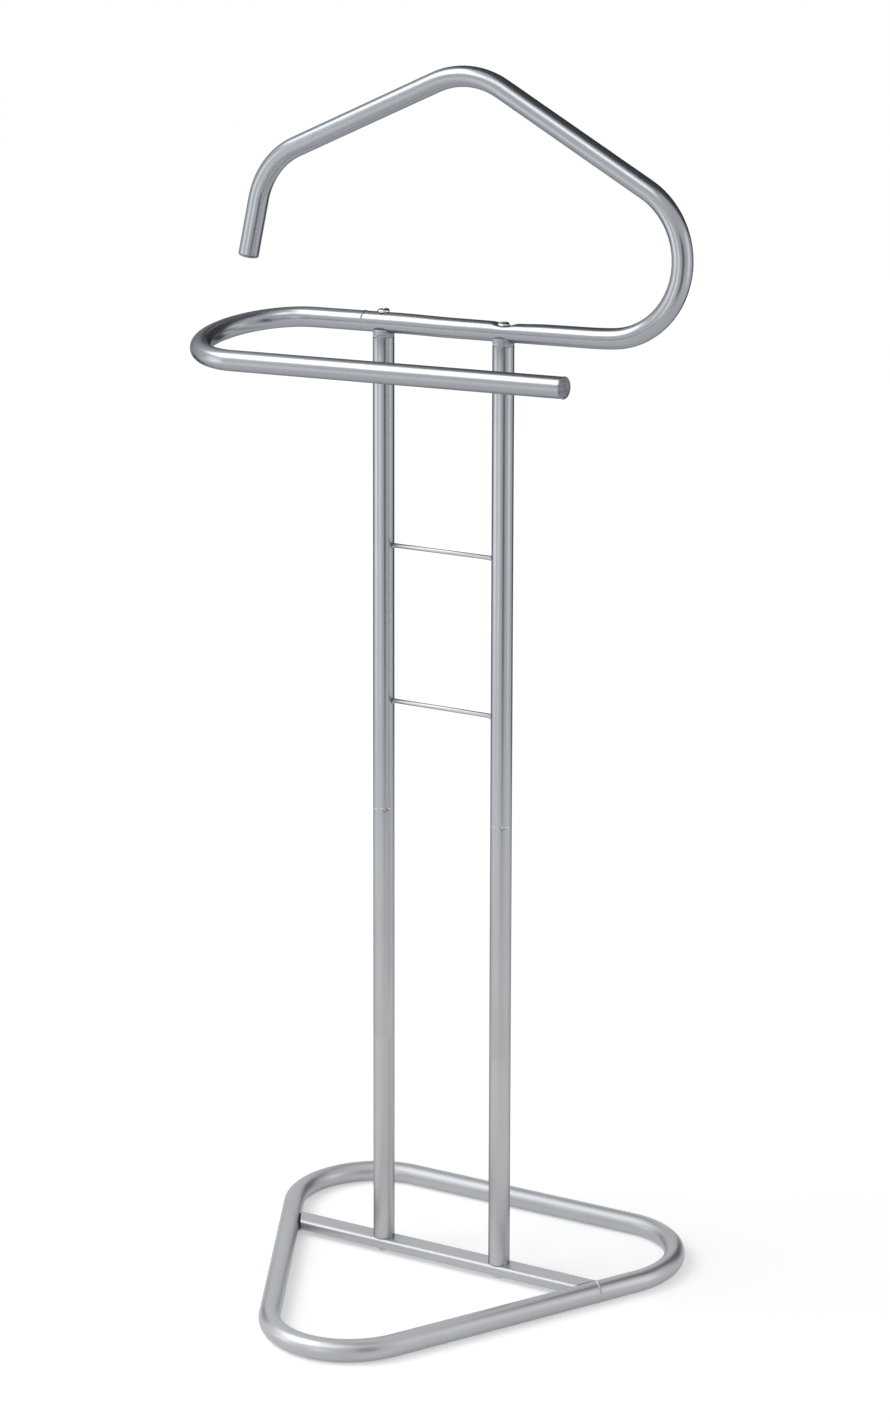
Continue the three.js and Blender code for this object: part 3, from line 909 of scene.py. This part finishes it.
def buildSaddles(spec):
    # A collar on each post, with a hollow for the top tube
    bore, plug, foot, collar = spec["bore"], spec["plug"], -spec["plugDepth"], spec["collar"]
    lip, edge, half = spec["lip"], spec["edge"], Vector((0.02, 0, 0))
    for name, x in postSides.items():
        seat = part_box(f"upper_post_{name}")[1].z
        bm = bmesh.new()
        turnProfile(bm, [
            (bore, foot), (plug, foot), (plug, spec["seat"]), (collar - spec["bevel"], spec["seat"]),
            (collar, edge), (collar, lip - edge), (collar - edge, lip), (bore, lip), (bore, foot),
        ], steps=64)
        bmesh.ops.translate(bm, verts=bm.verts, vec=at(x, 0, seat))
        saddle = addPiece(bm, f"saddle_collar_{name}", "grey_plastic", f"saddle_{name}")
        bm = bmesh.new()
        across = at(x, 0, topSpec["level"])
        rim = startRim(bm, across - half, Vector((1, 0, 0)), topSpec["tube"] + spec["fit"], sides=96)
        bmesh.ops.edgeloop_fill(bm, edges=rim)
        rim = pull(bm, rim, 2 * half)
        bmesh.ops.edgeloop_fill(bm, edges=rim)
        carve(saddle, makeMesh(bm, "saddle cutter", finishes["grey_plastic"]))
        addSoftEdges(saddle, spec["softening"], angle=30)


def recessCutter(spec, wide, deep):
    # One arm of the cross recess, narrower at the bottom
    bm = bmesh.new()
    bmesh.ops.create_cube(bm, size=1)
    bmesh.ops.scale(bm, vec=(wide, deep, 2 * spec["recessDepth"]), verts=bm.verts)
    bmesh.ops.translate(bm, verts=bm.verts, vec=(0, 0, spec["headHeight"]))
    low = [vert for vert in bm.verts if vert.co.z < spec["headHeight"]]
    bmesh.ops.scale(bm, vec=(spec["recessTaper"], spec["recessTaper"], 1), verts=low)
    return makeMesh(bm, "recess cutter", finishes["zinc_plate"])


def buildScrew(name, node, spec, turn, seat, pointsDown=True):
    length = abs(seat.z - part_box(node)[0 if pointsDown else 1].z)
    head, height, brim = spec["head"], spec["headHeight"], spec["brim"]
    shank, tip = spec["shank"], spec["tip"]
    bm = bmesh.new()
    turnProfile(bm, [
        (0, -length), (shank * tip["width"], -length), (shank, -length + tip["length"]), (shank, 0),
        (head - brim, 0), (head, brim), *[(head * across, height * up) for across, up in spec["dome"]],
    ])
    screw = addPiece(bm, name, "zinc_plate", node)
    arm, width = spec["recess"] * 2, spec["recessWidth"]
    carve(screw, recessCutter(spec, arm, width), recessCutter(spec, width, arm))
    # The heads on the round tube lean a little to the front
    lean = math.radians(spec["lean"]) if pointsDown else math.pi
    turned = Matrix.Rotation(lean, 4, "X") @ Matrix.Rotation(math.radians(turn), 4, "Z")
    screw.data.transform(Matrix.Translation(seat) @ turned)
    addSoftEdges(screw, spec["softening"], angle=35)


def buildScrews(spec):
    crown = topSpec["level"] + topSpec["tube"]
    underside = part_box("base_crossbar")[0].z
    for name, x in postSides.items():
        turn = spec["turns"][name]
        top = at(x, 0, crown - spec["headSink"][name])
        foot = at(x, 0, underside - spec["footDrop"][name])
        buildScrew(f"long_screw_{name}", f"top_screw_{name}", spec, turn, top)
        buildScrew(f"foot_screw_{name}", f"base_screw_{name}", spec, turn + spec["footTurn"], foot, False)


buildSaddles(saddleSpec)
buildScrews(screwSpec)
print("saddles and screws built")


# studio

studioSpec = {
    "floor": 40.0,
    "paper": (colour(0.90, 0.90, 0.90), colour(0.91, 0.91, 0.91)),
    "paperGrain": 3.0,
    "glowCentre": (-0.9, -0.9, 0),
    "glowReach": 3.8,
    "glow": (0.20, 0.68),
    "world": 0.35,
    "lamps": {
        "overhead": {"place": (-2.65, -2.05, 3.4), "aim": (-2.65, -2.05, 0), "size": (3.1, 3.7),
                     "power": 117},
        "high front": {"place": (-0.05, -1.85, 2.86), "aim": (0.1, 0, 0.9), "size": (1.1, 0.9), "power": 8},
        "front": {"place": (-0.35, -2.4, 0.55), "aim": (0, 0, 0.5), "size": (0.60, 1.0), "power": 2.5},
        "left": {"place": (-2.3, -1.55, 0.8), "aim": (0, 0, 0.6), "size": (1.1, 1.6), "power": 7},
        "right": {"place": (2.7, 0.5, 1.0), "aim": (0, 0, 0.6), "size": (1.2, 2.0), "power": 7},
    },
    "flags": {
        "camera side": {"place": (0.97, -1.01, 0.67), "aim": (0, 0, 0.67), "size": (0.50, 1.16)},
        "behind left": {"place": (-1.24, 0.36, 0.38), "aim": (0, 0, 0.38), "size": (0.50, 0.50)},
        "behind right": {"place": (0.30, 1.25, 0.63), "aim": (0, 0, 0.63), "size": (0.80, 1.04)},
        "behind above": {"place": (-0.8, 0.567, 1.835), "aim": (-0.8, 0.042, 1.372), "size": (3.8, 1.775),
                         "cloth": "net"},
        "overhead right": {"place": (0.30, -0.22, 2.5), "aim": (0.30, -0.22, 0), "size": (0.9, 0.45)},
        "low white": {"place": (-0.12, 0.055, 0.2), "aim": (-0.12, 0.055, 0), "size": (0.56, 0.37),
                      "cloth": "white"},
    },
}
clothSpec = {
    "black": colour(0.05, 0.05, 0.052),
    "thin": colour(0.66, 0.66, 0.67),
    "roughness": 0.95,
    "thinning": (-1.5, -0.1),
    "clearAcross": (-1.15, -0.65),
    "clearAbove": (1.3, 1.5),
}


def aimed(place, aim):
    heading = (Vector(aim) - Vector(place)).to_track_quat("-Z", "Y")
    return Matrix.Translation(place) @ heading.to_matrix().to_4x4()


def seenStraight(finish):
    # 1 where the camera sees it, by itself or in metal or glass
    path = finish.node("LightPath").socket.node
    camera, glossy, clear = (
        Wire(finish, path.outputs[f"Is {ray} Ray"]) for ray in ("Camera", "Glossy", "Transmission"))
    return finish.spread(camera + glossy + clear, 0.0, 1.0)


def makePaper(spec):
    # White studio paper, which keeps the shadow of the stand and stays white into the distance
    paper = Finish(bpy.data.materials.new("whitePaper"))
    place = paper.place()
    grain = paper.speckle(place, spec["paperGrain"], detail=2.0)
    matt = paper.node("BsdfDiffuse", {}, {"Color": paper.mixed(grain, *spec["paper"])})
    offset = paper.node("VectorMath", {"operation": "SUBTRACT"}, {0: place, 1: spec["glowCentre"]})
    away = paper.node("VectorMath", {"operation": "LENGTH"}, {0: offset}, output="Value")
    near, far = spec["glow"]
    fading = {"Value": away, "From Max": spec["glowReach"], "To Min": near, "To Max": far}
    glow = paper.node("MapRange", {}, fading) * seenStraight(paper)
    lit = paper.node("Emission", {}, {"Color": colour(1, 1, 1), "Strength": glow})
    paper.node("OutputMaterial", {}, {"Surface": paper.node("AddShader", {}, {0: matt, 1: lit})})
    paper.owner.cycles.emission_sampling = "NONE"  # the glow lights nothing, so it is no lamp
    return paper.owner


def makeCloths(spec):
    # Black cloth for the flags, a net for the large one, paler towards the left and clear at the
    # upper left, and a white card which the front of the ring mirrors
    black, net, white = (
        Finish(bpy.data.materials.new(name)) for name in ("blackCloth", "netCloth", "whiteCard"))
    shine = white.node("Emission", {}, {"Color": colour(1, 1, 1), "Strength": 1.0})
    white.node("OutputMaterial", {}, {"Surface": shine})
    white.owner.cycles.emission_sampling = "NONE"
    across, height = (
        net.node("SeparateXYZ", {}, {"Vector": net.place()}, output=axis) for axis in ("X", "Z"))
    tone = net.mixed(net.spread(across, *spec["thinning"]), spec["thin"], spec["black"])
    right, low = net.spread(across, *spec["clearAcross"]), 1.0 - net.spread(height, *spec["clearAbove"])
    weave = right.maths("MAXIMUM", right, low)
    return {
        "black": black.close({"Base Color": spec["black"], "Roughness": spec["roughness"]}),
        "net": net.close({"Base Color": tone, "Roughness": spec["roughness"], "Alpha": weave}),
        "white": white.owner,
    }


def buildStudio(spec):
    bm = bmesh.new()
    bmesh.ops.create_grid(bm, x_segments=8, y_segments=8, size=spec["floor"] / 2)
    makeMesh(bm, "studio_floor", makePaper(spec))
    for name, lamp in spec["lamps"].items():
        data = bpy.data.lights.new(name, "AREA")
        data.shape = "RECTANGLE"
        data.size, data.size_y = lamp["size"]
        data.energy = lamp["power"]
        light = bpy.data.objects.new(name, data)
        light.matrix_world = aimed(lamp["place"], lamp["aim"])
        light.visible_camera = False
        scene.collection.objects.link(light)
    cloths = makeCloths(clothSpec)
    for name, flag in spec["flags"].items():
        bm = bmesh.new()
        bmesh.ops.create_grid(bm, x_segments=1, y_segments=1, size=0.5)
        bmesh.ops.scale(bm, vec=(*flag["size"], 1), verts=bm.verts)
        bmesh.ops.transform(bm, matrix=aimed(flag["place"], flag["aim"]), verts=bm.verts)
        card = makeMesh(bm, "flag " + name, cloths[flag.get("cloth", "black")])
        card.visible_camera = card.visible_diffuse = card.visible_shadow = False
    scene.world = bpy.data.worlds.new("studio")
    sky = Finish(scene.world)
    strength = spec["world"] + (1.0 - spec["world"]) * seenStraight(sky)
    background = sky.node("Background", {}, {"Color": colour(1, 1, 1), "Strength": strength})
    sky.node("OutputWorld", {}, {"Surface": background})


cameraSpec = {
    "place": (1.3317, -2.1477, 1.1152),
    "turn": 27.113,
    "tip": 7.755,
    "roll": 0.758,
    "lens": 76.022,
    "shift": (-0.17, -0.22),
}


def buildCamera(spec):
    data = bpy.data.cameras.new("camera")
    data.lens = spec["lens"]
    data.shift_x, data.shift_y = spec["shift"]
    eye = bpy.data.objects.new("camera", data)
    turn = Matrix.Rotation(math.radians(spec["turn"]), 4, "Z")
    tip = Matrix.Rotation(math.radians(90 - spec["tip"]), 4, "X")
    roll = Matrix.Rotation(math.radians(spec["roll"]), 4, "Z")
    eye.matrix_world = Matrix.Translation(at(*spec["place"])) @ turn @ tip @ roll
    scene.collection.objects.link(eye)
    scene.camera = eye


buildStudio(studioSpec)
buildCamera(cameraSpec)
print("studio and camera set")
